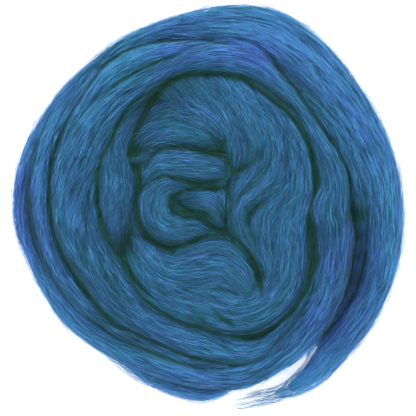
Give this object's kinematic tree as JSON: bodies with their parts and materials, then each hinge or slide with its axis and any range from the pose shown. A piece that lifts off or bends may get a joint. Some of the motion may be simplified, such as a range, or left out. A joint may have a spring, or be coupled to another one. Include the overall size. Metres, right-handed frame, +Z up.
{
  "type": "wool roving coiled into a flat nest",
  "caption": "Length of combed wool roving, a thick untwisted band coiled and folded into a low round nest, with its frayed loose end lying beside it.",
  "frame": {"origin": "on the surface that the nest rests on, under the middle of its outline", "axes": "+Z up, the thin way of the nest; +Y away from the side where the loose end lies; +X to the right, seen from above"},
  "size_m": [0.196, 0.2019, 0.0452],
  "materials": {
    "blue_wool": "soft matte combed wool, sky blue with teal and royal blue streaks"
  },
  "bodies": {
    "root": {"roving_coil": "blue_wool", "loose_end": "blue_wool"}
  },
  "joints": []
}
